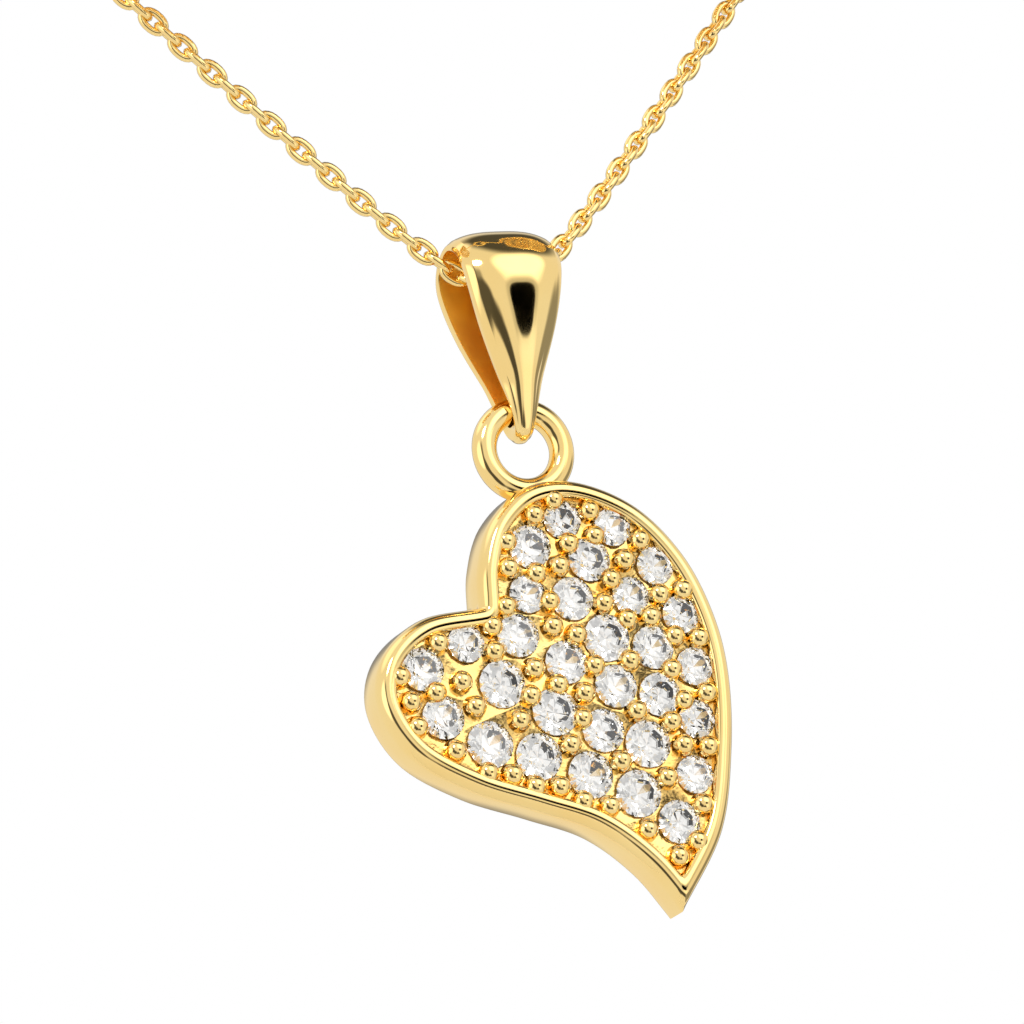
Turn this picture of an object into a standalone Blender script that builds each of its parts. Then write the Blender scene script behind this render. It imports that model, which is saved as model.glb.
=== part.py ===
"""A gold heart pendant on a cable chain, with thirty pave-set stones, a tapered bail and a spring ring clasp.

Z is up and the pendant faces -Y. The necklace hangs as on a shop's display bar: its two chain runs fall in a V
through the bail, the rest of each side is wound round the bar, and the clasp lies on top of it. The bar itself
isn't part of the necklace. Its centre is the origin, and it runs along X.
Sizes are written in millimetres and turned into metres where a mesh is made.
"""

import math

import bmesh
import bpy
import numpy as np
from mathutils import Matrix, Vector

MM = 0.001

# Heart casting. Its own plane has x across and z up, with (0, 0) at the centre of the pendant ring.
RING_CENTRE = Vector((0.0, 1.3, -24.0))
THICKNESS = 1.75
RIM_WIDTH = 0.5
FLOOR_DEPTH = 0.42
FRONT = -THICKNESS / 2
FLOOR = FRONT + FLOOR_DEPTH
CLEFT = (-2.8, -6.0)
TIP = (3.6, -17.85)
RIGHT_SIDE = [
    (-2.6, -4.4), (-1.85, -2.7), (-0.3, -1.48), (1.7, -1.38), (3.95, -2.42), (5.6, -4.35), (6.5, -6.65),
    (6.77, -9.0), (6.45, -11.9), (5.57, -15.0),
]
LEFT_SIDE = [
    (2.35, -16.1), (0.6, -14.65), (-1.6, -13.8), (-4.1, -12.9), (-6.3, -11.5), (-7.3, -9.5), (-6.85, -7.65),
    (-5.2, -6.35),
]
POINTS_PER_SPAN = 3

# Stones, in three usual sizes by girdle diameter, most of the smallest along the rim. They are given row by row
# from the top of the heart: x, z and size.
SMALL, MEDIUM, LARGE = 1.45, 1.65, 1.8
STONES = [
    (0.95, -2.85, SMALL), (2.9, -3.2, SMALL),
    (-0.5, -3.8, MEDIUM), (1.8, -4.4, MEDIUM), (4.4, -4.75, SMALL),
    (-0.85, -5.6, SMALL), (0.9, -5.85, MEDIUM), (3.25, -5.85, SMALL), (5.15, -6.65, SMALL),
    (-1.45, -7.15, MEDIUM), (2.05, -7.4, LARGE), (3.85, -7.85, MEDIUM),
    (-3.55, -7.35, SMALL), (-5.4, -8.25, MEDIUM), (-2.35, -8.95, LARGE), (0.3, -8.25, MEDIUM),
    (5.4, -8.65, SMALL),
    (2.15, -9.25, MEDIUM), (3.85, -9.65, MEDIUM),
    (-4.85, -10.1, MEDIUM), (-0.4, -10.1, LARGE), (1.4, -10.9, MEDIUM), (5.2, -10.65, SMALL),
    (-3.15, -11.2, LARGE), (3.1, -11.5, LARGE),
    (-1.3, -11.75, LARGE), (0.65, -12.55, LARGE), (4.8, -12.75, SMALL), (2.45, -13.35, LARGE),
    (3.9, -14.5, MEDIUM),
]
GIRDLE_Y = FLOOR - 0.05
# A stone's heights are shares of its diameter, its table and culet shares of its radius.
CROWN_HEIGHT, PAVILION_DEPTH, GIRDLE_HEIGHT = 0.16, 0.41, 0.03
TABLE, CULET = 0.56, 0.06
SEAT_GAP = 0.02
SEAT_HOLE = 0.5
SEAT_CUT = 0.2
STONE_SIDES = 12

# Pendant ring, soldered to the top of the heart.
RING_RADIUS = 1.54
RING_WIRE = 0.47
SOLDER_GAP = 0.02
RECESS_CUT, TRIM_REACH = 0.5, 1.5

# Bail: a teardrop loop in the y-z plane. Its front half is given from top to bottom as (depth, height over the
# ring's centre), outside and inside.
BAIL_OUTER = [
    (0.0, 8.43), (1.22, 8.05), (2.0, 7.1), (2.15, 6.0), (1.87, 4.4), (1.36, 2.6), (0.87, 1.15), (0.5, 0.5),
    (0.0, 0.29),
]
BAIL_INNER = [
    (0.0, 7.82), (0.85, 7.52), (1.32, 6.85), (1.38, 6.0), (1.12, 4.4), (0.74, 2.8), (0.54, 1.6), (0.32, 1.08),
    (0.0, 0.93),
]
BAIL_WIDE, BAIL_NARROW, BAIL_FLARE = 3.9, 0.7, 1.3
# It is at its narrowest up to BAIL_FOOT, and at its widest BAIL_RISE above that.
BAIL_FOOT, BAIL_RISE = 0.3, 7.2
BAIL_STEPS = 2
# The bail rocks on the chain about the bottom of the V.
BAIL_HINGE = RING_CENTRE + Vector((0.0, 0.0, 6.8))
# The bail's outside, from its middle to its edge: share of the half width, and how far it drops.
BAIL_SECTION = ((0.0, 0.0), (0.45, 0.05), (0.85, 0.22), (1.0, 0.36))

# Chain. It passes through the bail in a V and is wound inwards, turn by turn, round the display bar.
CHAIN_WIDTH = 0.9
V_SLOPE = {"left": 1.19, "right": 1.131}
V_BEND, V_LEAN, V_BOTTOM, V_REACH = 2.0, 0.197, 6.25, 12.0
COIL_RADIUS = 4.8
COIL_START, COIL_PITCH, COIL_TURNS = 13.6, 1.0, 6.25
COIL_EDGE, COIL_SIDES = 0.3, 36
RUN_PULL, TAIL_PULL = 0.45, 0.35
TAIL_LEAVING, TAIL_ARRIVING = (0.3, -1.0, 0.0), (1.0, 0.3, 0.15)
SIGN = {"left": -1, "right": 1}
RUN_STEP, TAIL_STEP = 1.2, 1.0
END_GAP = 0.05

# Spring ring clasp, lying level on top of the bar. Its eye is to the left, the chain's end ring to the right.
CLASP_CENTRE = Vector((0.0, 0.0, 5.4))
CLASP_RADIUS, CLASP_TUBE, CLASP_BORE = 2.1, 0.5, 0.34
CLASP_GAP_DEG = (40.0, 80.0)
BOLT_RADIUS, BOLT_DEG = 0.27, (35.0, 146.0)
LEVER_DEG, LEVER_TRAVEL_DEG, LEVER_WIDTH, LEVER_LENGTH = 102.0, 42.0, 0.26, 1.2
# The lever's outline: shares of half its width, against shares of its length.
LEVER_PROFILE = [(1.0, 0.0), (1.0, 0.52), (2.0, 0.62), (2.3, 0.77), (1.8, 0.93), (0.8, 1.0)]
LEVER_SIDES = 8
SLOT_FROM, SLOT_PAST, SLOT_PLAY, SLOT_ENDS_DEG, SLOT_STATIONS = 0.1, 0.3, 0.06, 7.0, 12
SPRING_DEG, SPRING_TURNS, SPRING_RADIUS, SPRING_WIRE = (191.0, 236.0), 9, 0.22, 0.05
EYE_RADIUS, EYE_WIRE = 0.62, 0.2
END_RING_RADIUS, END_RING_WIRE = 1.3, 0.2
END_RING_CENTRE = CLASP_CENTRE + Vector((CLASP_RADIUS + 0.3, 0.0, 0.3))
END_RING_AXIS = (0.0, 0.9, 0.44)
EYE_REACH = CLASP_RADIUS + CLASP_TUBE + EYE_WIRE + EYE_RADIUS + SOLDER_GAP
TAIL_END = {
    "left": EYE_REACH + EYE_RADIUS + EYE_WIRE + END_GAP,
    "right": END_RING_CENTRE.x + END_RING_RADIUS + END_RING_WIRE + END_GAP,
}

GOLD = (0.93, 0.70, 0.29, 1.0)
STONE_WHITE = (0.96, 0.97, 0.98, 1.0)
X_AXIS, Y_AXIS, Z_AXIS = Vector((1, 0, 0)), Vector((0, 1, 0)), Vector((0, 0, 1))


# Objects, materials and collections

def clear_scene():
    for obj in list(bpy.data.objects):
        bpy.data.objects.remove(obj)


def collection(name):
    made = bpy.data.collections.new(name)
    bpy.context.scene.collection.children.link(made)
    return made


def material(name, colour, roughness, metallic, alpha=1.0):
    made = bpy.data.materials.new(name)
    made.use_nodes = True
    shader = made.node_tree.nodes["Principled BSDF"]
    shader.inputs["Base Color"].default_value = colour
    shader.inputs["Roughness"].default_value = roughness
    shader.inputs["Metallic"].default_value = metallic
    shader.inputs["Alpha"].default_value = alpha
    made.diffuse_color = colour
    return made


def add_object(name, data, home, finish=None):
    obj = bpy.data.objects.new(name, data)
    home.objects.link(obj)
    if finish is not None:
        data.materials.append(finish)
    return obj


def mesh_from(name, bm, home, finish=None, smooth_deg=30.0, origin=(0.0, 0.0, 0.0)):
    """Closes bm into a mesh object in metres, its faces out and its origin on the joint it moves with."""
    bmesh.ops.recalc_face_normals(bm, faces=bm.faces)
    bmesh.ops.translate(bm, vec=-Vector(origin), verts=bm.verts)
    bmesh.ops.scale(bm, vec=(MM, MM, MM), verts=bm.verts)
    mesh = bpy.data.meshes.new(name)
    bm.to_mesh(mesh)
    bm.free()
    mesh.shade_smooth()
    mesh.set_sharp_from_angle(angle=math.radians(smooth_deg))
    obj = add_object(name, mesh, home, finish)
    obj.location = Vector(origin) * MM
    return obj


def as_cutter(obj):
    obj.hide_render = True
    obj.display_type = "WIRE"
    return obj


def boolean(obj, operation, other):
    modifier = obj.modifiers.new(operation.title(), "BOOLEAN")
    modifier.operation = operation
    modifier.object = other
    return modifier


def curve_mesh(name, curve, matrix, home, finish=None):
    """A curve's own shape as a mesh object, its caps welded, so that it can be cut or joined."""
    guide = bpy.data.objects.new(name + "_guide", curve)
    bpy.context.scene.collection.objects.link(guide)
    bpy.context.view_layer.update()
    graph = bpy.context.evaluated_depsgraph_get()
    mesh = bpy.data.meshes.new_from_object(guide.evaluated_get(graph))
    bm = bmesh.new()
    bm.from_mesh(mesh)
    bmesh.ops.remove_doubles(bm, verts=bm.verts, dist=1e-6)
    bm.to_mesh(mesh)
    bm.free()
    bpy.data.objects.remove(guide)
    made = add_object(name, mesh, home, finish)
    made.matrix_world = matrix
    return made


def tube(name, points, radius, home, finish, sides=2, closed=False):
    """A wire of round section along points, in millimetres, as a curve with filled caps."""
    curve = bpy.data.curves.new(name, "CURVE")
    curve.dimensions = "3D"
    curve.bevel_depth = radius * MM
    curve.bevel_resolution = sides
    curve.use_fill_caps = not closed
    spline = curve.splines.new("POLY")
    spline.points.add(len(points) - 1)
    for target, point in zip(spline.points, points):
        target.co = (*(Vector(point) * MM), 1.0)
    spline.use_cyclic_u = closed
    return add_object(name, curve, home, finish)


def torus(name, centre, axis, radius, wire, home, finish, segments=(40, 12)):
    """A ring of round wire about axis, as a primitive placed by its own location and rotation."""
    turn = Vector((0, 0, 1)).rotation_difference(Vector(axis)).to_euler()
    bpy.ops.mesh.primitive_torus_add(
        major_segments=segments[0], minor_segments=segments[1], location=Vector(centre) * MM,
        rotation=turn, major_radius=radius * MM, minor_radius=wire * MM,
    )
    obj = bpy.context.object
    obj.name = obj.data.name = name
    for old in list(obj.users_collection):
        old.objects.unlink(obj)
    home.objects.link(obj)
    obj.data.materials.append(finish)
    obj.data.shade_smooth()
    return obj


# The heart's outline

def catmull_rom(a, b, c, d, t):
    """A point between b and c on the smooth curve through a, b, c and d."""
    return 0.5 * (2 * b + (c - a) * t + (2 * a - 5 * b + 4 * c - d) * t**2 + (3 * b - a - 3 * c + d) * t**3)


def smooth_side(first, middle, last):
    """Points on a Catmull-Rom curve from first through middle, stopping just short of last."""
    knots = [Vector(p) for p in (first, *middle, last)]
    padded = [2 * knots[0] - knots[1], *knots, 2 * knots[-1] - knots[-2]]
    made = []
    for spots in zip(padded, padded[1:], padded[2:], padded[3:]):
        made += [catmull_rom(*spots, step / POINTS_PER_SPAN) for step in range(POINTS_PER_SPAN)]
    return made


def heart_outline():
    """The heart's outer edge in its own plane, clockwise from the cleft."""
    return smooth_side(CLEFT, RIGHT_SIDE, TIP) + smooth_side(TIP, LEFT_SIDE, CLEFT)


def edge_distance(outline, points):
    """How far each point is from the outline's edge."""
    start = np.array([tuple(p) for p in outline])
    along = np.roll(start, -1, axis=0) - start
    away = points[:, None, :] - start[None]
    share = np.clip((away * along).sum(2) / (along**2).sum(1), 0, 1)
    return np.linalg.norm(away - share[..., None] * along[None], axis=2).min(1)


def inset(outline, width):
    """The outline moved inwards by width. Points that would fall closer to another side are left out."""
    count = len(outline)
    moved = []
    for i, point in enumerate(outline):
        tangent = (outline[(i + 1) % count] - outline[i - 1]).normalized()
        moved.append(point + width * Vector((tangent.y, -tangent.x)))
    clear = edge_distance(outline, np.array([tuple(p) for p in moved])) > abs(width) - 0.02
    return [p for p, kept in zip(moved, clear) if kept]


def plate(name, outline, low_y, high_y, home, finish=None):
    """A flat plate of that outline, standing in the heart's plane from low_y to high_y."""
    curve = bpy.data.curves.new(name, "CURVE")
    curve.dimensions = "2D"
    curve.fill_mode = "BOTH"
    curve.extrude = (high_y - low_y) / 2 * MM
    spline = curve.splines.new("POLY")
    spline.points.add(len(outline) - 1)
    for target, point in zip(spline.points, outline):
        target.co = (point.x * MM, point.y * MM, 0.0, 1.0)
    spline.use_cyclic_u = True
    place = Matrix.Translation((RING_CENTRE + Vector((0, (low_y + high_y) / 2, 0))) * MM)
    return curve_mesh(name, curve, place @ Matrix.Rotation(math.pi / 2, 4, "X"), home, finish)


# Solids

def turn_profile(bm, profile, centre, axis, out, segments):
    """Adds a solid spun about axis from a profile of (radius, height) pairs that starts off along out."""
    verts = [bm.verts.new(centre + radius * out + height * axis) for radius, height in profile]
    edges = [bm.edges.new(pair) for pair in zip(verts, verts[1:])]
    bmesh.ops.spin(
        bm, geom=verts + edges, cent=centre, axis=axis, angle=2 * math.pi, steps=segments, use_merge=True,
    )
    bmesh.ops.remove_doubles(bm, verts=bm.verts, dist=0.001)
    bmesh.ops.holes_fill(bm, edges=[edge for edge in bm.edges if edge.is_boundary])


def make_seats(home):
    """One cutter with a conical seat and an open hole to the back for each stone."""
    bm = bmesh.new()
    back = THICKNESS / 2 + SEAT_CUT
    for x, z, diameter in STONES:
        seat = diameter / 2 + SEAT_GAP
        hole = diameter / 2 * SEAT_HOLE
        shoulder = GIRDLE_Y + GIRDLE_HEIGHT * diameter + SEAT_GAP
        run = (seat - hole) * PAVILION_DEPTH / 0.5
        profile = [(seat, FLOOR - SEAT_CUT), (seat, shoulder), (hole, shoulder + run), (hole, back)]
        turn_profile(bm, profile, RING_CENTRE + Vector((x, 0, z)), Y_AXIS, X_AXIS, STONE_SIDES)
    return as_cutter(mesh_from("stone_seats", bm, home))


def make_heart(parts, cutters, gold):
    outline = heart_outline()
    inner = inset(outline, RIM_WIDTH)
    heart = plate("heart_casting", outline, FRONT, THICKNESS / 2, parts, gold)
    recess = as_cutter(plate("heart_recess", inner, FRONT - RECESS_CUT, FLOOR, cutters))
    boolean(heart, "DIFFERENCE", recess)
    boolean(heart, "DIFFERENCE", make_seats(cutters))
    return heart


def make_stone(name, x, z, diameter, home, finish):
    """A round cut stone, table to the front: crown, girdle and pavilion turned as one."""
    radius = diameter / 2
    girdle = GIRDLE_HEIGHT * diameter
    profile = [
        (TABLE * radius, -CROWN_HEIGHT * diameter), (radius, 0.0), (radius, girdle),
        (CULET * radius, girdle + PAVILION_DEPTH * diameter),
    ]
    bm = bmesh.new()
    turn_profile(bm, profile, RING_CENTRE + Vector((x, GIRDLE_Y, z)), Y_AXIS, X_AXIS, STONE_SIDES)
    return mesh_from(name, bm, home, finish, smooth_deg=1.0, origin=RING_CENTRE)


def make_pendant_ring(parts, cutters, gold):
    ring = torus("pendant_ring", RING_CENTRE, Y_AXIS, RING_RADIUS, RING_WIRE, parts, gold, (32, 10))
    outline = inset(heart_outline(), -SOLDER_GAP)
    boolean(ring, "DIFFERENCE", as_cutter(plate("ring_trim", outline, -TRIM_REACH, TRIM_REACH, cutters)))
    return ring


def teardrop(half, per_span):
    """A closed smooth loop of (y, z) points from its front half, whose two ends lie on the middle line."""
    knots = [Vector((-depth, height)) for depth, height in half]
    knots += [Vector((-p.x, p.y)) for p in reversed(knots[1:-1])]
    count = len(knots)
    made = []
    for i in range(count):
        spots = [knots[(i + k) % count] for k in (-1, 0, 1, 2)]
        made += [catmull_rom(*spots, step / per_span) for step in range(per_span)]
    return made


def bail_width(z):
    share = min(max((z - BAIL_FOOT) / BAIL_RISE, 0.0), 1.0)
    return BAIL_NARROW + (BAIL_WIDE - BAIL_NARROW) * math.sin(math.pi / 2 * share**BAIL_FLARE)


def make_bail(parts, gold):
    """A loft round the teardrop, flat inside and crowned across outside."""
    outer = teardrop(BAIL_OUTER, BAIL_STEPS)
    inner = teardrop(BAIL_INNER, BAIL_STEPS)
    across = [(share, drop) for share, drop in reversed(BAIL_SECTION)]
    across += [(-share, drop) for share, drop in BAIL_SECTION[1:]]
    bm = bmesh.new()
    sections = []
    for out, within in zip(outer, inner):
        half = bail_width(out.y) / 2
        normal = (out - within).normalized()
        row = [(-half, within), (half, within)]
        row += [(share * half, out - normal * drop) for share, drop in across]
        sections.append([bm.verts.new(RING_CENTRE + Vector((x, p.x, p.y))) for x, p in row])
    for a, b in zip(sections, sections[1:] + sections[:1]):
        for k in range(len(a)):
            m = (k + 1) % len(a)
            bm.faces.new((a[k], a[m], b[m], b[k]))
    return mesh_from("bail", bm, parts, gold, origin=BAIL_HINGE)


# Chain

def v_point(side, reach):
    """The chain's centreline where it hangs in its V, at reach from the middle of the bail."""
    rise = V_SLOPE[side] * (math.hypot(reach, V_BEND) - V_BEND)
    return RING_CENTRE + Vector((SIGN[side] * reach, V_LEAN * rise, V_BOTTOM + rise))


def bezier(a, b, c, d, t):
    s = 1 - t
    return s**3 * a + 3 * s * s * t * b + 3 * s * t * t * c + t**3 * d


def coil_point(side, turns):
    """A point of the winding, so many turns on from where its run reaches the back of the bar."""
    angle = 2 * math.pi * turns
    reach = COIL_START - COIL_PITCH * turns
    return Vector((SIGN[side] * reach, COIL_RADIUS * math.cos(angle), COIL_RADIUS * math.sin(angle)))


def joined(start, leaving, end, arriving, pull, count):
    """A smooth line that leaves start and arrives at end in the given directions."""
    size = (end - start).length * pull
    handles = (start, start + leaving.normalized() * size, end - arriving.normalized() * size, end)
    return [bezier(*handles, k / count) for k in range(count + 1)]


def run_points(side, count=200):
    """From the middle of the bail up the V and on to the back of the bar."""
    line = [v_point(side, V_REACH * k / count) for k in range(count)]
    start = v_point(side, V_REACH)
    leaving = start - line[-1]
    return line + joined(start, leaving, coil_point(side, 0), Z_AXIS, RUN_PULL, count)


def tail_points(side, count=100):
    """From the end of the winding, on top of the bar, to the clasp."""
    inwards = Vector((-SIGN[side], 1.0, 1.0))
    end = CLASP_CENTRE + Vector((SIGN[side] * TAIL_END[side], 0.0, 0.0))
    return joined(
        coil_point(side, COIL_TURNS), Vector(TAIL_LEAVING) * inwards, end, Vector(TAIL_ARRIVING) * inwards,
        TAIL_PULL, count,
    )


def spaced(line, step):
    """Points along a fine line at even spacing, about step apart, its two ends among them."""
    lengths = [0.0]
    for a, b in zip(line, line[1:]):
        lengths.append(lengths[-1] + (b - a).length)
    count = max(2, round(lengths[-1] / step))
    made = []
    i = 0
    for k in range(count + 1):
        goal = lengths[-1] * k / count
        while i < len(line) - 2 and lengths[i + 1] < goal:
            i += 1
        share = (goal - lengths[i]) / (lengths[i + 1] - lengths[i])
        made.append(line[i].lerp(line[i + 1], min(share, 1.0)))
    return made


def clear_of_coil(line):
    """The points of a line that leave room for the winding, whose ends lie at right angles to X."""
    inner_end = COIL_START - COIL_PITCH * COIL_TURNS
    reach = CHAIN_WIDTH + END_GAP
    kept = []
    for point in line:
        radius = math.hypot(point.y, point.z)
        if abs(point.x) < inner_end - CHAIN_WIDTH / 2 - END_GAP or radius > COIL_RADIUS + reach:
            kept.append(point)
    return kept


def make_coil(side, parts, gold):
    """The winding's outer shape: a ring round the bar, with its corners eased."""
    half = CHAIN_WIDTH / 2
    low, high = COIL_START - COIL_PITCH * COIL_TURNS - half, COIL_START + half
    thin, wide = COIL_RADIUS - half, COIL_RADIUS + half
    profile = [
        (thin, low + COIL_EDGE), (thin + COIL_EDGE, low), (wide - COIL_EDGE, low), (wide, low + COIL_EDGE),
        (wide, high - COIL_EDGE), (wide - COIL_EDGE, high), (thin + COIL_EDGE, high), (thin, high - COIL_EDGE),
    ]
    bm = bmesh.new()
    verts = [bm.verts.new((SIGN[side] * x, radius, 0.0)) for radius, x in profile]
    edges = [bm.edges.new((a, b)) for a, b in zip(verts, verts[1:] + verts[:1])]
    bmesh.ops.spin(
        bm, geom=verts + edges, cent=(0, 0, 0), axis=(1, 0, 0), angle=2 * math.pi, steps=COIL_SIDES,
        use_merge=True,
    )
    bmesh.ops.remove_doubles(bm, verts=bm.verts, dist=0.001)
    mesh_from(f"chain_{side}_coil", bm, parts, gold)


def make_chain(parts, gold):
    """On each side a hanging run, a winding, and a short tail that reaches the clasp."""
    for side in SIGN:
        run = clear_of_coil(run_points(side))
        level = [v_point(side, END_GAP), v_point(side, 4 * END_GAP)]
        tube(f"chain_{side}_run", level + spaced(run, RUN_STEP)[1:], CHAIN_WIDTH / 2, parts, gold)
        make_coil(side, parts, gold)
        tail = clear_of_coil(tail_points(side))
        tube(f"chain_{side}_tail", spaced(tail, TAIL_STEP), CHAIN_WIDTH / 2, parts, gold)


# Clasp

def clasp_point(degrees, out=0.0, side=0.0):
    """A point by its angle round the clasp from +X to +Y, its distance out from the wire, and its height."""
    angle = math.radians(degrees)
    radius = CLASP_RADIUS + out
    return CLASP_CENTRE + Vector((radius * math.cos(angle), radius * math.sin(angle), side))


def make_arc_tube(name, degrees, radius, bore, home, finish, stations, sides):
    """A loft round part of the clasp, its section round, hollow if bore is over 0."""
    bm = bmesh.new()
    shells = []
    for wall in [radius] + [bore] * (bore > 0):
        rings = []
        for k in range(stations + 1):
            at = degrees[0] + (degrees[1] - degrees[0]) * k / stations
            turn = [2 * math.pi * n / sides for n in range(sides)]
            rings.append([bm.verts.new(clasp_point(at, wall * math.cos(a), wall * math.sin(a))) for a in turn])
        for a, b in zip(rings, rings[1:]):
            for n in range(sides):
                m = (n + 1) % sides
                bm.faces.new((a[n], a[m], b[m], b[n]))
        shells.append(rings)
    for end in (0, -1):
        if bore > 0:
            wide, narrow = shells[0][end], shells[1][end]
            for n in range(sides):
                m = (n + 1) % sides
                bm.faces.new((wide[n], wide[m], narrow[m], narrow[n]))
        else:
            bm.faces.new(shells[0][end])
    return mesh_from(name, bm, home, finish, origin=CLASP_CENTRE)


def make_slot(home):
    """The cutter for the slot that the lever slides along."""
    bm = bmesh.new()
    half = LEVER_WIDTH / 2 + SLOT_PLAY
    outer = CLASP_TUBE + SLOT_PAST
    corners = ((SLOT_FROM, -half), (outer, -half), (outer, half), (SLOT_FROM, half))
    low, high = LEVER_DEG - SLOT_ENDS_DEG, LEVER_DEG + LEVER_TRAVEL_DEG + SLOT_ENDS_DEG
    rings = []
    for k in range(SLOT_STATIONS + 1):
        at = low + (high - low) * k / SLOT_STATIONS
        rings.append([bm.verts.new(clasp_point(at, out, side)) for out, side in corners])
    for a, b in zip(rings, rings[1:]):
        for n in range(len(corners)):
            m = (n + 1) % len(corners)
            bm.faces.new((a[n], a[m], b[m], b[n]))
    bm.faces.new(rings[0])
    bm.faces.new(rings[-1])
    return as_cutter(mesh_from("lever_slot", bm, home))


def make_lever(home):
    """The thumb lever's stem, with a small ball on its end, as one body to join to the bolt."""
    bm = bmesh.new()
    foot = clasp_point(LEVER_DEG)
    profile = [(wide * LEVER_WIDTH / 2, high * LEVER_LENGTH) for wide, high in LEVER_PROFILE]
    turn_profile(bm, profile, foot, (foot - CLASP_CENTRE).normalized(), Z_AXIS, LEVER_SIDES)
    return as_cutter(mesh_from("lever_shape", bm, home))


def spring_points(per_turn=6):
    steps = SPRING_TURNS * per_turn
    made = []
    for k in range(steps + 1):
        at = SPRING_DEG[0] + (SPRING_DEG[1] - SPRING_DEG[0]) * k / steps
        angle = 2 * math.pi * k / per_turn
        made.append(clasp_point(at, SPRING_RADIUS * math.cos(angle), SPRING_RADIUS * math.sin(angle)))
    return made


def make_clasp(parts, cutters, gold):
    body = make_arc_tube(
        "clasp_body", (CLASP_GAP_DEG[1], CLASP_GAP_DEG[0] + 360), CLASP_TUBE, CLASP_BORE, parts, gold,
        stations=28, sides=10,
    )
    boolean(body, "DIFFERENCE", make_slot(cutters))
    bolt = make_arc_tube("clasp_bolt", BOLT_DEG, BOLT_RADIUS, 0.0, parts, gold, stations=14, sides=8)
    boolean(bolt, "UNION", make_lever(cutters))
    tube("clasp_spring", spring_points(), SPRING_WIRE, parts, gold, sides=1)
    eye_centre = CLASP_CENTRE - Vector((EYE_REACH, 0.0, 0.0))
    torus("clasp_eye", eye_centre, Z_AXIS, EYE_RADIUS, EYE_WIRE, parts, gold, (20, 8))
    torus("end_ring", END_RING_CENTRE, END_RING_AXIS, END_RING_RADIUS, END_RING_WIRE, parts, gold, (24, 8))


def main():
    clear_scene()
    parts = collection("heart_pendant_necklace")
    cutters = collection("cutters")
    gold = material("polished_gold", GOLD, 0.12, 1.0)
    clear = material("clear_stone", STONE_WHITE, 0.02, 0.0, 0.35)
    make_heart(parts, cutters, gold)
    for number, (x, z, diameter) in enumerate(STONES, 1):
        make_stone(f"stone_{number:02d}", x, z, diameter, parts, clear)
    make_pendant_ring(parts, cutters, gold)
    make_bail(parts, gold)
    make_chain(parts, gold)
    make_clasp(parts, cutters, gold)


main()
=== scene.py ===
"""The look of a gold heart necklace: fine gold work, cut stones, a cable chain link by link, and a light tent.

Sizes are in millimetres in the necklace's own frame, and turned into metres where a mesh is made.
"""

import math

import bmesh
import bpy
import numpy as np
from mathutils import Matrix, Vector


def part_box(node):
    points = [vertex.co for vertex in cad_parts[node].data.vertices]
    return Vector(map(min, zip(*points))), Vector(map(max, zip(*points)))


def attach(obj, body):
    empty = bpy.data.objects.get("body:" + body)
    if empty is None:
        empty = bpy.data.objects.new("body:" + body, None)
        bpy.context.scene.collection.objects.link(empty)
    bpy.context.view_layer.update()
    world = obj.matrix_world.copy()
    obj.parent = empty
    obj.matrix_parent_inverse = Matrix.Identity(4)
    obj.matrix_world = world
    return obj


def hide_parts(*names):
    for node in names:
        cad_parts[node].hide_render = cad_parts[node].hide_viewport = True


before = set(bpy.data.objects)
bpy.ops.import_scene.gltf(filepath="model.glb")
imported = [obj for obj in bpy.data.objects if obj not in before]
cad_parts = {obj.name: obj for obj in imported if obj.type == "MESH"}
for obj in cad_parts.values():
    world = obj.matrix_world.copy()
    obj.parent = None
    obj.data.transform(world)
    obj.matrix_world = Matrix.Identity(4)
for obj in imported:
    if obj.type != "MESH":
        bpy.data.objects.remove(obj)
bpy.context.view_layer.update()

MM = 0.001
UPWARD, FORWARD = Vector((0, 0, 1)), Vector((0, -1, 0))

# Heart
RING_CENTRE = Vector((0.0, 1.3, -24.0))
THICKNESS, RIM_WIDTH, FLOOR_DEPTH = 1.75, 0.72, 0.42
FRONT, BACK = -THICKNESS / 2, THICKNESS / 2
FLOOR = FRONT + FLOOR_DEPTH
# The outline's two sides from the cleft to the tip and back, as x and z from the ring's centre.
CLEFT, TIP = (-2.8, -6.0), (3.6, -17.85)
RIGHT_SIDE = [
    (-2.6, -4.4), (-1.85, -2.7), (-0.3, -1.48), (1.7, -1.38), (3.95, -2.42), (5.6, -4.35), (6.5, -6.65),
    (6.77, -9.0), (6.45, -11.9), (5.57, -15.0),
]
LEFT_SIDE = [
    (2.35, -16.1), (0.6, -14.65), (-1.6, -13.8), (-4.1, -12.9), (-6.3, -11.5), (-7.3, -9.5), (-6.85, -7.65),
    (-5.2, -6.35),
]
SIDE_POINTS = {"right": 110, "left": 90, "cleft": 12}
TRIM_SLACK = 0.012
# The rim's section, from the back face round the outside to the floor: distance in from the edge, and y.
RIM_SECTION = [
    (0.14, BACK), (0.06, BACK), (0.03, BACK - 0.01), (0.01, BACK - 0.03), (0.0, BACK - 0.07),
    (0.0, 0.2), (0.0, FRONT + 0.62), (0.015, FRONT + 0.46), (0.05, FRONT + 0.32), (0.1, FRONT + 0.21),
    (0.16, FRONT + 0.125), (0.23, FRONT + 0.06), (0.31, FRONT + 0.018), (0.4, FRONT), (0.55, FRONT + 0.005),
    (0.63, FRONT + 0.035), (0.69, FRONT + 0.1), (RIM_WIDTH, FRONT + 0.2), (RIM_WIDTH, FLOOR),
]

# Where the cast colour is used: so far below the rim's top, above the back, and out onto the rim's inner wall.
FLOOR_BELOW_RIM, FLOOR_ABOVE_BACK, FLOOR_SLACK = 0.25, 0.05, 0.03

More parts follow.
